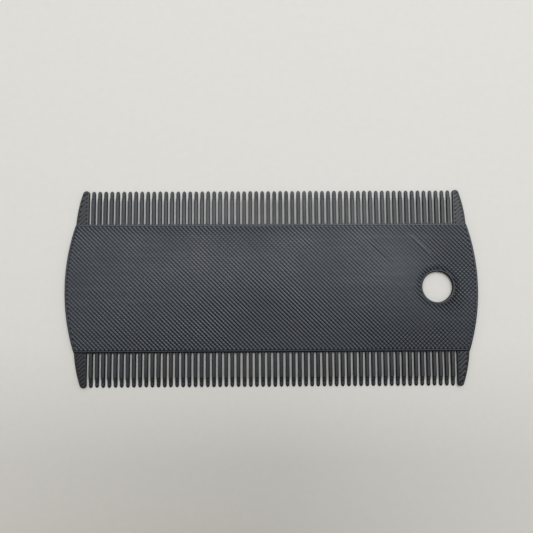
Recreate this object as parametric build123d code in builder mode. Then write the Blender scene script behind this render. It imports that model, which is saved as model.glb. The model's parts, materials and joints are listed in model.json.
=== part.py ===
from build123d import *
from math import sqrt
import os

# Double-sided flea comb, printed flat in one piece: a grip plate with a hanging hole, a row of
# fine teeth along each long edge, and a wide guard tooth at each end of both rows.
#
# Frame: origin at the centre of the flat underside, +X along the comb towards the hanging hole,
# +Y towards the upper tooth row, +Z out of the grip plate's face. Dimensions are in millimetres.

# ---- Driving dimensions ---------------------------------------------------------------------

comb_length = 84.8
plate_width = 26.3             # tooth root to tooth root

# Printed layers, counted up from the underside
first_layer_height = 0.3
layer_height = 0.2
tooth_layers = 3
plate_layers = 4               # the plate stands one layer proud of the teeth

# The solid lines of plastic that border the plate and the hole
wall_line = 0.4
rim_lines = 2

# Teeth
teeth_per_row = 60
tooth_pitch = 1.25
tooth_width = 0.8
tooth_length = 7.05
tip_round_length = 0.6         # length of a tooth's rounded end, seen from above
tip_ramp_length = 1.9          # length over which a tooth thins towards its tip
tip_thickness = 0.2

# Guard teeth
guard_top_width = 1.1
guard_bulge = 0.25             # how far the outer edge bows out from a straight line
guard_inner_round = 0.5
guard_outer_round = 0.75

# Hanging hole
hole_diameter = 6.3
hole_to_end = 8.3              # hole centre to the end of the comb

# ---- Sizes that follow ----------------------------------------------------------------------

end_radius = comb_length / 2
root_y = plate_width / 2
root_x = sqrt(end_radius**2 - root_y**2)
tip_y = root_y + tooth_length

tooth_thickness = first_layer_height + (tooth_layers - 1) * layer_height
plate_thickness = first_layer_height + (plate_layers - 1) * layer_height
core_thickness = plate_thickness - first_layer_height - layer_height
rim_width = rim_lines * wall_line

# The first gap of a row lies between the guard and the outermost tooth.
row_half_length = teeth_per_row * tooth_pitch / 2
gap_width = tooth_pitch - tooth_width
guard_inner_x = row_half_length + gap_width / 2
guard_outer_x = guard_inner_x + guard_top_width

hole_x = end_radius - hole_to_end
hole_radius = hole_diameter / 2
hole_rim_radius = hole_radius + rim_width

# ---- Plan outlines of the grip plate --------------------------------------------------------

# Straight long edges at the tooth roots, and ends on one circle about the comb's centre
with BuildSketch() as plate_outline:
    with BuildLine():
        Line((-root_x, root_y), (root_x, root_y))
        ThreePointArc((root_x, root_y), (end_radius, 0), (root_x, -root_y))
        Line((root_x, -root_y), (-root_x, -root_y))
        ThreePointArc((-root_x, -root_y), (-end_radius, 0), (-root_x, root_y))
    make_face()

# The field inside the rim and around the hole's rim
with BuildSketch() as plate_field:
    add(plate_outline.sketch)
    offset(amount=-rim_width, kind=Kind.INTERSECTION, mode=Mode.REPLACE)
    with Locations((hole_x, 0)):
        Circle(hole_rim_radius, mode=Mode.SUBTRACT)

# ---- Grip plate -----------------------------------------------------------------------------

# Skin laid first, whose underside is the comb's flat back
with BuildPart() as bottom_skin:
    add(plate_field.sketch)
    extrude(amount=first_layer_height)
bottom_skin.part.label = "bottom_skin"

# Solid layers between the two skins
with BuildPart() as plate_core:
    with BuildSketch(Plane.XY.offset(first_layer_height)):
        add(plate_field.sketch)
    extrude(amount=core_thickness)
plate_core.part.label = "plate_core"

# Skin laid last, which shows as the plate's face
with BuildPart() as top_skin:
    with BuildSketch(Plane.XY.offset(plate_thickness - layer_height)):
        add(plate_field.sketch)
    extrude(amount=layer_height)
top_skin.part.label = "top_skin"

# Border of the plate, which every tooth grows out of
with BuildPart() as plate_rim:
    with BuildSketch():
        add(plate_outline.sketch)
        offset(plate_outline.sketch, amount=-rim_width, kind=Kind.INTERSECTION, mode=Mode.SUBTRACT)
    extrude(amount=plate_thickness)
plate_rim.part.label = "plate_rim"

# Border of the hanging hole
with BuildPart() as hole_rim:
    with BuildSketch():
        with Locations((hole_x, 0)):
            Circle(hole_rim_radius)
            Circle(hole_radius, mode=Mode.SUBTRACT)
    extrude(amount=plate_thickness)
hole_rim.part.label = "hole_rim"

# ---- Tooth rows -----------------------------------------------------------------------------

# Straight teeth with rounded ends, whose upper faces ramp down to thin tips
with BuildPart() as upper_tooth_row:
    with BuildSketch():
        with Locations((0, root_y)):
            with GridLocations(tooth_pitch, 0, teeth_per_row, 1):
                Rectangle(
                    tooth_width,
                    tooth_length - tip_round_length,
                    align=(Align.CENTER, Align.MIN),
                )
        with Locations((0, tip_y - tip_round_length)):
            with GridLocations(tooth_pitch, 0, teeth_per_row, 1):
                Ellipse(tooth_width / 2, tip_round_length)
    extrude(amount=tooth_thickness)
    with BuildSketch(Plane.YZ):
        with BuildLine():
            Polyline(
                (tip_y - tip_ramp_length, tooth_thickness),
                (tip_y, tip_thickness),
                (tip_y, tooth_thickness),
                close=True,
            )
        make_face()
    extrude(amount=row_half_length, both=True, mode=Mode.SUBTRACT)
upper_tooth_row.part.label = "upper_tooth_row"

with BuildPart() as lower_tooth_row:
    mirror(upper_tooth_row.part, about=Plane.XZ)
lower_tooth_row.part.label = "lower_tooth_row"

# ---- Guard teeth ----------------------------------------------------------------------------

# Straight towards the row, bowed on the outside, with both corners of the top rounded
with BuildPart() as upper_right_guard:
    with BuildSketch() as guard_plan:
        with BuildLine():
            SagittaArc((root_x, root_y), (guard_outer_x, tip_y), -guard_bulge)
            Polyline(
                (guard_outer_x, tip_y),
                (guard_inner_x, tip_y),
                (guard_inner_x, root_y),
                (root_x, root_y),
            )
        make_face()
        top_corners = guard_plan.vertices().group_by(Axis.Y)[-1].sort_by(Axis.X)
        fillet(top_corners[0], radius=guard_inner_round)
        fillet(top_corners[-1], radius=guard_outer_round)
    extrude(amount=tooth_thickness)
upper_right_guard.part.label = "upper_right_guard"

with BuildPart() as upper_left_guard:
    mirror(upper_right_guard.part, about=Plane.YZ)
upper_left_guard.part.label = "upper_left_guard"

with BuildPart() as lower_right_guard:
    mirror(upper_right_guard.part, about=Plane.XZ)
lower_right_guard.part.label = "lower_right_guard"

with BuildPart() as lower_left_guard:
    mirror(upper_left_guard.part, about=Plane.XZ)
lower_left_guard.part.label = "lower_left_guard"

# ---- Export ---------------------------------------------------------------------------------

os.makedirs("parts", exist_ok=True)
export_step(bottom_skin.part, "parts/bottom_skin.step")
export_step(plate_core.part, "parts/plate_core.step")
export_step(top_skin.part, "parts/top_skin.step")
export_step(plate_rim.part, "parts/plate_rim.step")
export_step(hole_rim.part, "parts/hole_rim.step")
export_step(upper_tooth_row.part, "parts/upper_tooth_row.step")
export_step(lower_tooth_row.part, "parts/lower_tooth_row.step")
export_step(upper_right_guard.part, "parts/upper_right_guard.step")
export_step(upper_left_guard.part, "parts/upper_left_guard.step")
export_step(lower_right_guard.part, "parts/lower_right_guard.step")
export_step(lower_left_guard.part, "parts/lower_left_guard.step")
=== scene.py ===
import json
import math

import bpy
import numpy as np
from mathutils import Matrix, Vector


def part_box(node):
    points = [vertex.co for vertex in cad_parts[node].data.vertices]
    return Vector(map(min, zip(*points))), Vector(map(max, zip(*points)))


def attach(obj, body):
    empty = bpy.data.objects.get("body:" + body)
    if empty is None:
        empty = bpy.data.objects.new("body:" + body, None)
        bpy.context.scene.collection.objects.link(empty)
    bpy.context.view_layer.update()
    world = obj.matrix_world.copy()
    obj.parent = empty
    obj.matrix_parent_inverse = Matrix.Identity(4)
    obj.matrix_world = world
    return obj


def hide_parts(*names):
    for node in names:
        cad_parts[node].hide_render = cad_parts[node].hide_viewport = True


# Looks of a double-sided flea comb made by laying down lines of molten plastic. Every line that
# shows is modelled: the diagonal lines of the plate's two faces, the border lines round the plate,
# the hole and the guards, and the layers of each tooth. The comb is worked out in millimetres, and
# the floor, lights and camera in metres.

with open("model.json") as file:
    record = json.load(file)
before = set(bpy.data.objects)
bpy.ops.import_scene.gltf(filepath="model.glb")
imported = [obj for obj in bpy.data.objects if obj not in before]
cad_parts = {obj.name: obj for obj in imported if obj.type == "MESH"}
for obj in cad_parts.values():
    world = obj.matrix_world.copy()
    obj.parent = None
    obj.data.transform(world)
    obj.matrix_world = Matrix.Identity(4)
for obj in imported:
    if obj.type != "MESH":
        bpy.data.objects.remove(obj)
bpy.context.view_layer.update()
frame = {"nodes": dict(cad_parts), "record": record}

MM = 0.001
rng = np.random.default_rng(41)

# ---- Sizes read from the frame (mm) ---------------------------------------------------------


def corners(node):
    """Lowest and highest corner of a CAD node."""
    low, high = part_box(node)
    return np.array(low) / MM, np.array(high) / MM


end_radius, root_y, plate_top = corners("plate_rim")[1]

skin_low, skin_high = corners("top_skin")
rim_width = root_y - skin_high[1]
layer = skin_high[2] - skin_low[2]

first_layer = corners("bottom_skin")[1][2]

hole_low, hole_high = corners("hole_rim")
hole_centre = (hole_low + hole_high)[:2] / 2
hole_rim_radius = (hole_high[0] - hole_low[0]) / 2
hole_mount = next(m for m in frame["record"]["mounts"] if m["name"] == "hanging_hole")
hole_radius = hole_mount["dims"]["r_mm"]

row_low, row_high = corners("upper_tooth_row")
tip_y = row_high[1]
tooth_top = row_high[2]
plate_layers = 1 + round((plate_top - first_layer) / layer)
tooth_layers = plate_layers - 1

guard_low, guard_high = corners("upper_right_guard")
guard_inner_x = guard_low[0]
root_x = guard_high[0]

# ---- Sizes of the printed lines (mm) --------------------------------------------------------

DOWN_RIGHT = -math.pi / 4          # direction of the lines on the plate's face
UP_RIGHT = math.pi / 4             # direction of the lines on the guards and on the back

wall_line = rim_width / 2          # two border lines make up the rim
skin_line = 0.61                   # spacing of the diagonal lines
face_overlap = 0.45                # how far the diagonal lines of the face run over the rim
back_overlap = 0.1                 # how far those of the back run into it
step_along = skin_line / 6         # length of a mesh step along a diagonal line
back_step = 1.5                    # the same on the back
inside_step = 0.5                  # the same inside the guards
face_bands = 6                     # pieces that the face lines are shared out over

# Depths of the grooves between two lines
face_groove = 0.082
back_groove = 0.02                 # the back was pressed on the print bed
border_groove = 0.012              # beside the border lines of the plate and the hole
tooth_groove = 0.012               # along the middle of a tooth
guard_border_groove = 0.05
guard_grooves = {1: 0.012, -1: 0.03}  # on top of the upper and of the lower guards

# Widths over which the free side of a line is rounded
border_shoulder = 0.34             # round the plate and the guards
hole_shoulder = 0.24
tooth_shoulders = (0.2, 0.2, 0.3)  # for each layer of a tooth

bulge_turn = np.radians([-75, -45, -15, 15, 40, 60, 76, 90])  # points round such a side

# How far the lines drift at random
line_drift = 0.012
back_drift = 0.004
border_drift = 0.006
hole_drift = 0.01
lift_share = 0.4                   # share of a border line's drift that also raises it
strand_drift = 0.02

# ---- Unevenness of the plate's face ---------------------------------------------------------

# Depth of the grooves, as a share of face_groove: everywhere, and what comes on top of it at the
# torn line ends round the hole, over that distance in mm
groove_share = 0.4
torn_share = 0.6
torn_reach = 0.5

# What comes on top of that in soft patches: x, y, wide, tall (mm) and amount
groove_patches = (
    (-5.0, -5.0, 18.0, 8.0, 0.42),
    (-26.0, -11.0, 16.0, 4.5, 0.35),
    (37.0, 8.0, 8.0, 6.0, 0.25),
    (20.0, -10.0, 14.0, 5.0, 0.25),
    (-8.0, 12.6, 34.0, 1.3, 0.35),
    (26.5, 4.5, 5.0, 5.0, -0.28),
)

# How far the face lines sag over the layer below, from 0 to 1: everywhere, and on top of it in
# soft patches. At 1 they sag by hatch_depth in mm, and the same share paints shade on them there.
sag_and_shade_share = 0.3
sag_and_shade_patches = (
    (-9.0, 10.0, 16.0, 3.5, 0.25),
    (-22.0, -11.0, 20.0, 2.5, 0.25),
    (31.0, -11.0, 9.0, 3.5, 0.65),
    (39.0, 1.0, 4.0, 5.0, 0.5),
)
hatch_depth = 0.04

# Well filled part of the face, whose lines are wider by a share of full_gain. It stops short of
# the upper edge by a strip that ends softly.
full_x, full_y = -17.0, 5.0
full_wide, full_tall = 25.0, 6.0
full_strip, full_fade = 1.6, 0.8
full_gain = 0.05

# Badly filled part, below and to the right of the hole, whose lines are narrower by starved_loss
starved_offset = np.array([2.2, -2.2])
starved_radius = 3.2
starved_loss = 0.2

# Flat strands left lying on the face: their two ends and their width
strands = (
    ((28.0, 11.4), (33.1, 6.5), 0.45),
    ((19.2, 10.4), (25.4, 4.6), 0.28),
)
strand_height = 0.12
strand_end = 0.15                  # share of its width and height left at a strand's ends

# ---- Teeth and guards (mm) ------------------------------------------------------------------

teeth_per_row = 60
tooth_pitch = (row_high[0] - row_low[0] - 2 * wall_line) / (teeth_per_row - 1)
tooth_half_width = wall_line
tooth_length = tip_y - root_y
root_fillet = 0.2
root_points = np.array([-0.15, 0, 0.03, 0.07, 0.12, root_fillet])  # points along a tooth's root

tip_steps = np.array([0.0, 1.13, 1.7])  # how far each layer stops short of the tip
tip_rounds = (0.62, 0.465, 0.465)  # length of each layer's rounded end
tip_turn = np.array([0.2, 0.4, 0.58, 0.73, 0.85, 0.93, 0.975, 0.998])  # points along it, from 0 to 1
tip_heights = (1, 0.99, 0.97, 0.93, 0.86, 0.76, 0.64, 0.5)  # share of the layer's height there
# Painted shade at the foot of each step of a tooth, where the layer above ends.
foot_shade, foot_reach = 0.8, 0.12  # how dark it is at the foot of a step, and how far from it

# How much the teeth differ at random
length_spread, width_spread, sway_spread = 0.05, 0.02, 0.012

guard_top_width = 1.1
guard_bulge = 0.25
guard_rounds = (0.75, 0.5)         # at the outer and the inner corner of a guard's top
guard_flare = 0.05                 # how far a guard's outer edge leans out inside the plate's rim
guard_into_rim = 0.15              # how far a guard's border line runs into the plate's rim
guard_fill_into_rim = 0.3          # how far its diagonal lines do


# ---- Meshes ---------------------------------------------------------------------------------


def left_of(path, closed=False):
    """Unit vectors pointing left of a path at each of its points."""
    if closed:
        ahead = np.roll(path, -1, 0) - np.roll(path, 1, 0)
    else:
        ahead = np.gradient(path, axis=0)
    ahead /= np.linalg.norm(ahead, axis=1)[:, None]
    return np.stack([-ahead[:, 1], ahead[:, 0]], 1)


class Shells:
    """Many closed shells gathered into one mesh."""

    def __init__(self):
        self.points = []
        self.painted_shades = []
        self.faces = []
        self.total = 0

    def sweep(self, path, ring, z, width=1.0, height=1.0, lift=0.0, sink=1.0, painted_shade=0.0, closed=False):
        """Sweeps ring, an anticlockwise outline of (sideways, up) points, along path.

        width and height scale the ring, lift raises its upper points, sink scales how far its
        crown falls towards its sides, and the painted shade, from 0 to 1, darkens the colour where
        little light gets in.
        All of them can differ from one path point to the next.
        """
        count, size = len(path), len(ring)

        def at_points(value):
            return np.broadcast_to(value, count)[:, None]

        top = ring[:, 1].max()
        fall = np.where(ring[:, 1] > top / 3, top - ring[:, 1], 0)
        share = ring[:, 1] / np.abs(ring[:, 1]).max()
        across = at_points(width) * ring[:, 0]
        up = at_points(height) * (ring[:, 1] + (1 - at_points(sink)) * fall)
        up += at_points(lift) * share
        grid = np.empty((count, size, 3))
        grid[:, :, :2] = path[:, None, :] + across[:, :, None] * left_of(path, closed)[:, None, :]
        grid[:, :, 2] = z + up
        self.points.append(grid.reshape(-1, 3))
        self.painted_shades.append(np.repeat(np.broadcast_to(painted_shade, count), size))

        index = self.total + np.arange(count * size).reshape(count, size)
        self.total += count * size
        here = index if closed else index[:-1]
        there = np.roll(index, -1, 0) if closed else index[1:]
        quads = np.stack([here, np.roll(here, -1, 1), np.roll(there, -1, 1), there], -1)
        self.faces.extend(quads.reshape(-1, 4).tolist())
        if not closed:
            self.faces.append(index[0][::-1].tolist())
            self.faces.append(index[-1].tolist())

    def piece(self, name, material, *nodes):
        """Makes the gathered shells one piece, which stands for those CAD nodes."""
        mesh = bpy.data.meshes.new(name)
        mesh.from_pydata((np.concatenate(self.points) * MM).tolist(), [], self.faces)
        mesh.shade_smooth()
        # Shade painted on the surface, per point, which the material turns into darker colour.
        painted_shade = mesh.attributes.new("painted_shade", "FLOAT", "POINT")
        painted_shade.data.foreach_set("value", np.concatenate(self.painted_shades).astype(np.float32))
        mesh.materials.append(material)
        piece = bpy.data.objects.new(name, mesh)
        bpy.context.scene.collection.objects.link(piece)
        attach(piece, "root")
        if nodes:
            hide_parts(*nodes)


def line_ring(width, height, groove, free_left=False, free_right=False, shoulder=0.1):
    """Outline of one printed line.

    A free side bulges as squeezed plastic does, rounded over a width of shoulder. A side packed
    against its neighbour stands upright, and the crown falls by groove towards it.
    """

    def side(free, other_free):
        if free:
            across = width / 2 - shoulder * (1 - np.cos(bulge_turn))
            return np.stack([across, height / 2 * (1 + np.sin(bulge_turn))], 1)
        crest = shoulder - width / 2 if other_free else 0.0
        t = np.array([1, 0.8, 0.55, 0.28])
        crown = np.stack([crest + t * (width / 2 - crest), height - groove * t**2], 1)
        return np.vstack([[0.48 * width, 0], crown])

    left = side(free_left, free_right)
    right = side(free_right, free_left) * [-1, 1]
    middle = [] if free_left or free_right else [[[0, height]]]
    return np.vstack([left, *middle, right[::-1]])


def tooth_ring(height, shoulder):
    """Outline of one layer of a tooth: two lines side by side, with a groove where they meet."""
    line = line_ring(tooth_half_width, height, tooth_groove, free_left=True, shoulder=shoulder)
    free_side = line[: len(bulge_turn)] + [tooth_half_width / 2, 0]
    half = np.vstack([free_side, [[0.15 * tooth_half_width, height]]])
    return np.vstack([half, [[0.0, height - tooth_groove]], half[::-1] * [-1, 1]])


def wander(count, spacing, size):
    """Slow random drift of at most size, sampled at count points that are spacing mm apart."""
    period = 3.0
    knots = rng.uniform(-size, size, int(count * spacing / period) + 4)
    return np.interp(np.arange(count) * spacing / period, np.arange(len(knots)), knots)


# ---- Plan outlines --------------------------------------------------------------------------


def arc(centre, radius, start, end, count):
    """Points on an arc between two angles in radians."""
    a = np.linspace(start, end, count)
    return np.stack([centre[0] + radius * np.cos(a), centre[1] + radius * np.sin(a)], 1)


def hole_loop(radius):
    """Circle about the hole's centre."""
    return arc(hole_centre, radius, 0, 2 * math.pi, 97)[:-1]


def plate_loop(inset):
    """Outline of the grip plate, moved inwards, anticlockwise from the lower left corner."""
    radius = end_radius - inset
    y = root_y - inset
    angle = math.asin(y / radius)
    x = radius * math.cos(angle)
    straight_x = np.linspace(-x, x, 160)[1:-1]
    straight = np.stack([straight_x, np.full(len(straight_x), -y)], 1)
    right = arc((0, 0), radius, -angle, angle, 60)
    left = arc((0, 0), radius, math.pi - angle, math.pi + angle, 60)
    return np.vstack([straight, right, -straight, left])


def fillet_corner(corner, before, after, radius, count=9):
    """Points of a round of that radius at a corner between two neighbouring points."""
    u = (before - corner) / np.linalg.norm(before - corner)
    v = (after - corner) / np.linalg.norm(after - corner)
    half = math.acos(np.clip(u @ v, -1, 1)) / 2
    centre = corner + (u + v) / np.linalg.norm(u + v) * radius / math.sin(half)
    start = corner + u * radius / math.tan(half) - centre
    end = corner + v * radius / math.tan(half) - centre
    turn = math.acos(np.clip(start @ end / radius**2, -1, 1))
    t = np.linspace(0, 1, count)[:, None]
    return centre + (np.sin((1 - t) * turn) * start + np.sin(t * turn) * end) / math.sin(turn)


def guard_path(inset, into_rim):
    """The upper right guard's outline from its outer root, round its top, to its inner root.

    It is moved inwards by inset, and both of its ends run into the plate's rim.
    """
    root = np.array([root_x, root_y])
    outer_top = np.array([guard_inner_x + guard_top_width, tip_y])
    inner_top = np.array([guard_inner_x, tip_y])
    t = np.linspace(0, 1, 24)[:, None]
    chord = outer_top - root
    out = np.array([chord[1], -chord[0]]) / np.linalg.norm(chord)
    outer = root + chord * t + out * guard_bulge * 4 * t * (1 - t)
    outer_round = fillet_corner(outer_top, outer[-2], inner_top, guard_rounds[0])
    inner_round = fillet_corner(inner_top, outer_top, inner_top - [0, 1], guard_rounds[1])
    outer = outer[outer[:, 1] < outer_round[0, 1] - 0.1]
    inner = np.stack([np.full(20, guard_inner_x), np.linspace(inner_round[-1, 1], root_y, 20)], 1)
    path = np.vstack([outer, outer_round, inner_round[1:], inner[1:]])
    path = path + inset * left_of(path)
    outer_end = [path[0, 0] + guard_flare, root_y - into_rim]
    inner_end = [path[-1, 0], root_y - into_rim]
    return np.vstack([outer_end, path, inner_end])


# ---- Filling an outline with lines ----------------------------------------------------------


def spans(loops, ahead, side, offset):
    """Where the line in direction ahead, moved by offset towards side, runs inside the loops."""
    cuts = []
    for loop in loops:
        beyond = loop @ side - offset
        beyond_next = np.roll(beyond, -1)
        hit = np.nonzero((beyond < 0) != (beyond_next < 0))[0]
        share = beyond[hit] / (beyond[hit] - beyond_next[hit])
        crossing = loop[hit] + (np.roll(loop, -1, 0)[hit] - loop[hit]) * share[:, None]
        cuts.extend((crossing @ ahead).tolist())
    cuts.sort()
    return zip(cuts[::2], cuts[1::2])


def raster(shells, loops, angle, z, ring, step, drift=line_drift, numbers=None, unevenness=None):
    """Fills the loops with parallel lines that have rounded ends, or only those with the numbers.

    unevenness gives each line's width, its groove depth and how far it sags along its path; the sag also
    sets the shade painted on the line.
    """
    ahead = np.array([math.cos(angle), math.sin(angle)])
    side = np.array([-ahead[1], ahead[0]])
    if numbers is None:
        reach = np.concatenate([loop @ side for loop in loops]) / skin_line - 0.5
        numbers = range(math.ceil(reach.min()), math.floor(reach.max()) + 1)
    nose = ring[:, 0].max()
    turn = np.linspace(0.08, 1, 4)[:-1]
    plump = np.sqrt(1 - (1 - turn) ** 2)
    for number in numbers:
        offset = (number + 0.5) * skin_line
        for start, end in spans(loops, ahead, side, offset):
            if end - start < 2 * nose:
                continue
            count = max(int((end - start - 2 * nose) / step), 2)
            body = np.linspace(start + nose, end - nose, count)
            along = np.concatenate([start + nose * turn, body, end - nose * turn[::-1]])
            width = np.concatenate([plump, np.ones(count), plump[::-1]])
            height = 0.75 + 0.25 * width
            sideways = offset + wander(len(along), step, drift)
            lift = wander(len(along), step, 0.5 * drift)
            path = along[:, None] * ahead + sideways[:, None] * side
            full, sink, sag_and_shade = unevenness(path, along) if unevenness else (1.0, 1.0, 0.0)
            # The sag also paints shade on the line where it dips over the layer below.
            shells.sweep(path, ring, z, width * full, height, lift - hatch_depth * sag_and_shade, sink, sag_and_shade)


# ---- Materials ------------------------------------------------------------------------------


class Graph:
    """The shader nodes of a material or of the world."""

    def __init__(self, owner):
        owner.use_nodes = True
        self.nodes = owner.node_tree.nodes
        self.links = owner.node_tree.links

    def feed(self, node, inputs):
        """Sets the inputs of a node, each to a value or to the output of another node."""
        for key, value in inputs.items():
            if isinstance(value, bpy.types.NodeSocket):
                self.links.new(value, node.inputs[key])
            else:
                node.inputs[key].default_value = value

    def add(self, kind, inputs, output, **settings):
        """Adds a node and gives one of its outputs."""
        node = self.nodes.new("ShaderNode" + kind)
        for key, value in settings.items():
            setattr(node, key, value)
        self.feed(node, inputs)
        return node.outputs[output]

    def noise(self, scale, detail, angle=0.0, stretch=(1.0, 1.0, 1.0)):
        """Noise fixed to the object, turned by angle and stretched along that direction."""
        where = self.add("TexCoord", {}, "Object")
        turned = {"Vector": where, "Rotation": (0, 0, -angle), "Scale": stretch}
        place = self.add("Mapping", turned, "Vector")
        return self.add("TexNoise", {"Vector": place, "Scale": scale, "Detail": detail}, "Fac")

    def ramp(self, source, low, high, start, end):
        """Goes evenly from start to end as source goes from low to high."""
        limits = {"From Min": low, "From Max": high, "To Min": start, "To Max": end}
        return self.add("MapRange", {"Value": source, **limits}, "Result")

    def mix(self, share, a, b):
        """Goes from colour a to colour b as share goes from 0 to 1."""
        share_socket, a_socket, b_socket, result_socket = 0, 6, 7, 2
        inputs = {share_socket: share, a_socket: a, b_socket: b}
        return self.add("Mix", inputs, result_socket, data_type="RGBA")

    def calculate(self, operation, *values):
        """One arithmetic operation on those values."""
        return self.add("Math", dict(enumerate(values)), "Value", operation=operation)

    def bump(self, height, strength, depth, **over):
        """Bumps of that depth in mm, over another bump where one is given as Normal."""
        inputs = {"Height": height, "Strength": strength, "Distance": depth * MM, **over}
        return self.add("Bump", inputs, "Normal")


def rgba(colour, share=1.0):
    """A colour scaled by share, with the full alpha that a shader node wants."""
    return (*(share * channel for channel in colour), 1.0)


def printed_plastic(name, angle, tint=1.0, gloss=0.42, steep=0.7, lean=0.45, sheen=0.65):
    """Dark slate plastic with drag streaks along its lines, fine grain and a patchy satin sheen.

    Painted shade: it goes nearly black and loses most of its specular on flanks steeper than
    steep, the upright share of the normal, and where the mesh marks recesses between layers and
    lines, standing in for the light lost there. Flanks that lean towards the lights, along Y,
    get less of this painted shade than the ones that lean away.
    """
    material = bpy.data.materials.new(name)
    graph = Graph(material)
    level = 0.985                  # upright share of the normal from which a surface counts as level
    blotches = graph.noise(90, 3, angle)
    streaks = graph.noise(900, 3, angle, (0.06, 1, 1))
    grain = graph.noise(5200, 2, angle)

    # Painted shade: crown falls to 0 on steep flanks, less on those that lean towards the lights along Y,
    # and where the mesh marks shade; there the base colour goes to the near-black groove colour.
    axes = graph.nodes.new("ShaderNodeSeparateXYZ")
    graph.feed(axes, {"Vector": graph.add("NewGeometry", {}, "Normal")})
    facing_up = graph.calculate("ABSOLUTE", axes.outputs["Z"])
    upright = graph.calculate("MULTIPLY_ADD", axes.outputs["Y"], lean, facing_up)
    lit = graph.ramp(upright, steep, level, 0, 1)
    painted_shade = graph.add("Attribute", {}, "Fac", attribute_name="painted_shade")
    crown = graph.calculate("MULTIPLY", lit, graph.ramp(painted_shade, 0, 1, 1, 0))

    # groove is the colour of the painted shade, not of the plastic.
    groove = rgba((0.006, 0.007, 0.009))
    dark = rgba((0.020, 0.030, 0.048), tint)
    mid = rgba((0.027, 0.038, 0.060), tint)
    light = rgba((0.048, 0.060, 0.084), tint)
    base = graph.mix(graph.ramp(blotches, 0.35, 0.65, 0, 1), dark, mid)
    base = graph.mix(graph.ramp(streaks, 0.52, 0.78, 0, 0.75), base, light)
    drags = graph.bump(streaks, 0.5, 0.012)
    graph.feed(graph.nodes["Principled BSDF"], {
        "Base Color": graph.mix(crown, groove, base),
        "Roughness": graph.ramp(blotches, 0.3, 0.7, gloss - 0.06, gloss + 0.08),
        "Specular IOR Level": graph.ramp(crown, 0, 1, 0.2, sheen),
        "Normal": graph.bump(grain, 0.4, 0.008, Normal=drags),
    })
    return material


# steep and lean set, for each plastic, on which flanks the shade is painted.
face_plastic = printed_plastic("face_plastic", DOWN_RIGHT, tint=0.72, gloss=0.38, steep=0.84, sheen=0.6)
strand_plastic = printed_plastic("strand_plastic", DOWN_RIGHT, tint=1.45)
back_plastic = printed_plastic("back_plastic", UP_RIGHT, gloss=0.3)
guard_plastic = printed_plastic("guard_plastic", UP_RIGHT, tint=0.32, steep=0.88)
tooth_plastic = printed_plastic("tooth_plastic", math.pi / 2, tint=0.46, steep=0.965)
border_plastic = printed_plastic("border_plastic", 0.0, tint=1.0, steep=0.86, lean=1.8)


# ---- Grip plate -----------------------------------------------------------------------------


def field_loops(overlap):
    """The plate's field between the rims, widened by overlap."""
    return [plate_loop(rim_width - overlap), hole_loop(hole_rim_radius - overlap)]


def patch(path, x, y, wide, tall, amount):
    """A soft-edged patch of the face, amount high at x, y and gone beyond wide and tall."""
    return amount * np.exp(-(((path[:, 0] - x) / wide) ** 2) - ((path[:, 1] - y) / tall) ** 2)


def fullness(path):
    """Width of a face line: a full one closes its grooves, a starved one leaves them open."""
    x, y = path[:, 0], path[:, 1]
    full = np.exp(-(((x - full_x) / full_wide) ** 4) - ((y - full_y) / full_tall) ** 4)
    full = full * np.clip((root_y - full_strip - y) / full_fade, 0, 1)
    away = path - hole_centre - starved_offset
    starved = np.exp(-((away**2).sum(1) / starved_radius**2) ** 2)
    return 1 + full_gain * full - starved_loss * starved


def groove_depth(path):
    """Depth of the grooves beside a face line, as a share of face_groove."""
    from_border = np.linalg.norm(path - hole_centre, axis=1) - hole_rim_radius
    torn = torn_share * np.exp(-((from_border / torn_reach) ** 2))
    return groove_share + torn + sum(patch(path, *place) for place in groove_patches)


def sag_and_shade_along(path, along):
    """How far a face line sags, from 0 to 1, over each groove between the lines of the layer below, which
    also sets the shade painted there.
    """
    over_groove = np.maximum(np.cos(2 * math.pi * along / skin_line), 0)
    return (sag_and_shade_share + sum(patch(path, *place) for place in sag_and_shade_patches)) * over_groove


def face_unevenness(path, along):
    """Width, groove depth, and sag and painted shade of a face line along its path."""
    return fullness(path), groove_depth(path), sag_and_shade_along(path, along)


def face_lines():
    """The diagonal lines of the plate's face, in bands side by side that share out its many points."""
    ring = line_ring(skin_line, layer, face_groove)
    loops = field_loops(face_overlap)
    z = plate_top - layer
    last = math.ceil(np.abs(np.vstack(loops).sum(1)).max() / math.sqrt(2) / skin_line)
    edges = np.linspace(-last, last, face_bands + 1).round().astype(int)
    for band in range(face_bands):
        shells = Shells()
        numbers = range(edges[band], edges[band + 1])
        raster(shells, loops, DOWN_RIGHT, z, ring, step_along, numbers=numbers, unevenness=face_unevenness)
        nodes = ["top_skin"] if band == 0 else []
        shells.piece(f"face_lines_{band + 1}", face_plastic, *nodes)


def face_strands():
    """Flat strands of plastic left lying on the face, along its lines."""
    shells = Shells()
    t = np.linspace(0, 1, 40)
    plump = strand_end + (1 - strand_end) * np.sqrt(np.sin(math.pi * t))
    for start, end, width in strands:
        ring = line_ring(width, strand_height, 0.0, free_left=True, free_right=True)
        sway = wander(len(t), spacing=0.2, size=strand_drift)
        x = start[0] + t * (end[0] - start[0]) + sway
        y = start[1] + t * (end[1] - start[1]) + sway
        shells.sweep(np.stack([x, y], 1), ring, plate_top - strand_height / 2, plump, plump)
    shells.piece("face_strands", strand_plastic)


def level_span(level):
    """Bottom and height of a printed layer, counted from 0 at the print bed."""
    if level == 0:
        return 0.0, first_layer
    return first_layer + (level - 1) * layer, layer


def back_lines():
    """The diagonal lines of the plate's back, squeezed flat against the print bed."""
    shells = Shells()
    hanging_ring = line_ring(skin_line, first_layer, back_groove)[::-1] * [1, -1]
    raster(shells, field_loops(back_overlap), UP_RIGHT, first_layer, hanging_ring, back_step, back_drift)
    shells.piece("back_lines", back_plastic, "bottom_skin")


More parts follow.
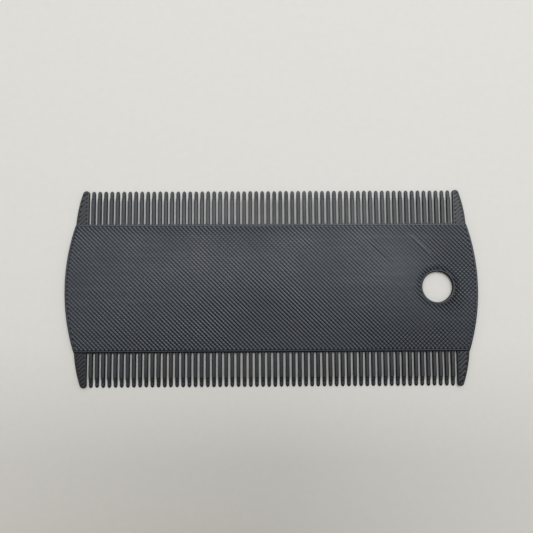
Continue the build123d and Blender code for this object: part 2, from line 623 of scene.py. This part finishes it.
def borders():
    """Every border line of an edge: its layer's bottom and height, and its number from the edge.

    In the last layer the diagonal lines run over the inner border line, so there is only one.
    """
    for level in range(plate_layers):
        for turn in range(1 if level == plate_layers - 1 else 2):
            yield *level_span(level), turn


def plate_border():
    """The border lines of each layer round the plate."""
    shells = Shells()
    for z, tall, turn in borders():
        ring = line_ring(wall_line, tall, border_groove, free_right=turn == 0, shoulder=border_shoulder)
        path = plate_loop((turn + 0.5) * wall_line)
        drift = wander(len(path), spacing=0.5, size=border_drift)
        shells.sweep(path, ring, z, width=1 + drift, lift=lift_share * drift, closed=True)
    shells.piece("plate_border", border_plastic, "plate_rim")


def hole_border():
    """The border lines of each layer round the hole, in the darker guard plastic, which paints shade on
    the hole's rim.
    """
    shells = Shells()
    for z, tall, turn in borders():
        ring = line_ring(wall_line, tall, border_groove, free_left=turn == 0, shoulder=hole_shoulder)
        path = hole_loop(hole_radius + (turn + 0.5) * wall_line)
        drift = wander(len(path), spacing=0.25, size=hole_drift)
        shells.sweep(path, ring, z, width=1 + drift, lift=lift_share * drift, closed=True)
    shells.piece("hole_border", guard_plastic, "hole_rim")


# ---- Teeth ----------------------------------------------------------------------------------


def tooth_layer(shells, x, up, level):
    """One layer of a tooth: flared at its root, straight, and rounded at its end."""
    z, tall = level_span(level)
    length = tooth_length - tip_steps[level] - rng.uniform(0, length_spread)
    nose = tip_rounds[level]
    feet = tooth_length - tip_steps[level + 1 :]
    body = np.sort(np.concatenate([[0.6], feet - foot_reach, feet, feet + foot_reach]))
    body = np.append(body[body < length - nose], length - nose)
    at = np.concatenate([root_points, body, length - nose + nose * tip_turn])

    back = np.clip(root_fillet - root_points, 0, root_fillet)
    flare = root_fillet - np.sqrt(root_fillet**2 - back**2)
    width = np.concatenate([1 + flare / tooth_half_width, np.ones(len(body)), np.sqrt(1 - tip_turn**2)])
    width = width * (1 + rng.uniform(-width_spread, width_spread))
    height = np.append(np.ones(len(root_points) + len(body)), tip_heights)
    sway = rng.uniform(-sway_spread, sway_spread)
    path = np.stack([x + sway * at / length, up * (root_y + at)], 1)
    ring = tooth_ring(tall, tooth_shoulders[level])
    # Shade painted on this layer at the foot of each step where a layer above ends.
    shells.sweep(path, ring, z, width, height, painted_shade=foot_shade * np.isin(at, feet))


def tooth_row(name, up, node):
    """A row of teeth, each in three layers whose ends step back from the tip."""
    shells = Shells()
    first = row_low[0] + tooth_half_width
    for number in range(teeth_per_row):
        for level in range(tooth_layers):
            tooth_layer(shells, first + number * tooth_pitch, up, level)
    shells.piece(name, tooth_plastic, node)


# ---- Guards ---------------------------------------------------------------------------------


def guard(name, right, up, node):
    """A guard: a border line in each layer, thin diagonal lines inside it on top, thick ones below."""
    shells = Shells()
    border = guard_path(wall_line / 2, guard_into_rim) * [right, up]
    field = guard_path(0.7 * wall_line, guard_fill_into_rim) * [right, up]
    if right * up < 0:
        border, field = border[::-1], field[::-1]
    for level in range(tooth_layers):
        z, tall = level_span(level)
        ring = line_ring(wall_line, tall, guard_border_groove, free_right=True, shoulder=border_shoulder)
        shells.sweep(border, ring, z)
    top_ring = line_ring(skin_line, layer, guard_grooves[up])
    raster(shells, [field], UP_RIGHT, tooth_top - layer, top_ring, step_along)
    inside_ring = line_ring(skin_line, first_layer + layer, 0.0)
    raster(shells, [field], UP_RIGHT, 0, inside_ring, inside_step, drift=0.0)
    shells.piece(name, guard_plastic, node)


# ---- Build ----------------------------------------------------------------------------------

face_lines()
face_strands()
back_lines()
plate_border()
hole_border()
tooth_row("upper_teeth", 1, "upper_tooth_row")
tooth_row("lower_teeth", -1, "lower_tooth_row")
for edge, up in (("upper", 1), ("lower", -1)):
    for end, right in (("right", 1), ("left", -1)):
        guard(f"{edge}_{end}_guard_lines", right, up, f"{edge}_{end}_guard")

# The solid layers inside the plate keep their CAD mesh.
core = frame["nodes"]["plate_core"]
core.data.materials.clear()
core.data.materials.append(guard_plastic)


# ---- Floor, light and camera (m) ------------------------------------------------------------

floor_half = 1.5
paper_tint = (1.0, 0.985, 0.955)
paper_dark, paper_light = 0.78, 0.82  # brightness between the fibres and on them

window_white = (0.89, 0.967, 1.0)  # slightly cool
plain_white = (1.0, 1.0, 1.0)
room_warm = (0.66, 0.55, 0.43)     # the surround on the side of the comb's lower edge
backdrop = (0.9, 0.88, 0.84)       # what the camera sees of the surround
room_strength = 0.55

flag_low = (-0.045, -0.07)
flag_high = (0.045, 0.008)
flag_height = 0.12


def paper_material():
    """Off-white paper with faint fibres."""
    material = bpy.data.materials.new("paper")
    graph = Graph(material)
    fibres = graph.noise(700, 4)
    graph.feed(graph.nodes["Principled BSDF"], {
        "Base Color": graph.mix(fibres, rgba(paper_tint, paper_dark), rgba(paper_tint, paper_light)),
        "Roughness": 0.9,
        "Specular IOR Level": 0.2,
        "Normal": graph.bump(fibres, 0.2, 0.02),
    })
    return material


def flag_material():
    """Plain black."""
    material = bpy.data.materials.new("flag_black")
    graph = Graph(material)
    graph.feed(graph.nodes["Principled BSDF"], {"Base Color": rgba((0.02, 0.02, 0.02))})
    return material


def sheet(name, low, high, z, material):
    """A level rectangle of the stage."""
    mesh = bpy.data.meshes.new(name)
    outline = [(low[0], low[1], z), (high[0], low[1], z), (high[0], high[1], z), (low[0], high[1], z)]
    mesh.from_pydata(outline, [], [(0, 1, 2, 3)])
    mesh.materials.append(material)
    rectangle = bpy.data.objects.new(name, mesh)
    bpy.context.scene.collection.objects.link(rectangle)
    return rectangle


def floor():
    """A wide sheet of paper under the comb."""
    sheet("floor", (-floor_half, -floor_half), (floor_half, floor_half), 0, paper_material())


def flag():
    """A dark panel held above the comb, as wide as a hand, that takes away the light from overhead."""
    panel = sheet("flag", flag_low, flag_high, flag_height, flag_material())
    panel.visible_camera = False


def area_light(name, place, size, power, colour):
    """A soft rectangular light that faces the comb."""
    data = bpy.data.lights.new(name, "AREA")
    data.shape = "RECTANGLE"
    data.size, data.size_y = size
    data.energy = power
    data.color = colour
    light = bpy.data.objects.new(name, data)
    light.location = place
    light.rotation_euler = (-light.location).to_track_quat("-Z", "Y").to_euler()
    light.visible_camera = False
    bpy.context.scene.collection.objects.link(light)


def lights():
    """Two cool windows and a narrow ceiling light, all beyond the upper edge of the comb."""
    area_light("left_window", (-0.16, 0.16, 0.42), (0.25, 0.25), 0.25, window_white)
    area_light("right_window", (0.16, 0.16, 0.42), (0.25, 0.25), 0.62, window_white)
    area_light("ceiling_light", (0.0, 0.085, 0.42), (0.3, 0.06), 0.38, plain_white)


def room():
    """A surround that lights the comb from all sides, and that the camera sees as an even backdrop.

    It is warm on the side of the comb's lower edge and white on the side of its upper edge.
    """
    world = bpy.data.worlds.new("room")
    graph = Graph(world)
    axes = graph.nodes.new("ShaderNodeSeparateXYZ")
    graph.feed(axes, {"Vector": graph.add("TexCoord", {}, "Generated")})
    upper_share = graph.ramp(axes.outputs["Y"], -0.8, 0.8, 0, 1)
    tone = graph.mix(upper_share, rgba(room_warm), rgba(plain_white))
    from_camera = graph.add("LightPath", {}, "Is Camera Ray")
    seen = graph.mix(from_camera, tone, rgba(backdrop))
    graph.feed(graph.nodes["Background"], {"Color": seen, "Strength": room_strength})
    bpy.context.scene.world = world


def camera():
    """A camera above the comb that looks almost straight down."""
    data = bpy.data.cameras.new("camera")
    data.sensor_width = 36
    data.lens = 36.8
    data.clip_start = 0.01
    data.clip_end = 10
    tilt, lean, roll = math.radians(4.085), math.radians(-0.383), math.radians(-0.305)
    picture = bpy.data.objects.new("camera", data)
    picture.rotation_euler = (tilt, lean, roll)
    picture.location = (-0.001854, -0.003637, 0.112537)
    bpy.context.scene.collection.objects.link(picture)
    bpy.context.scene.camera = picture


floor()
lights()
room()
flag()
camera()
bpy.context.scene.view_settings.view_transform = "Standard"
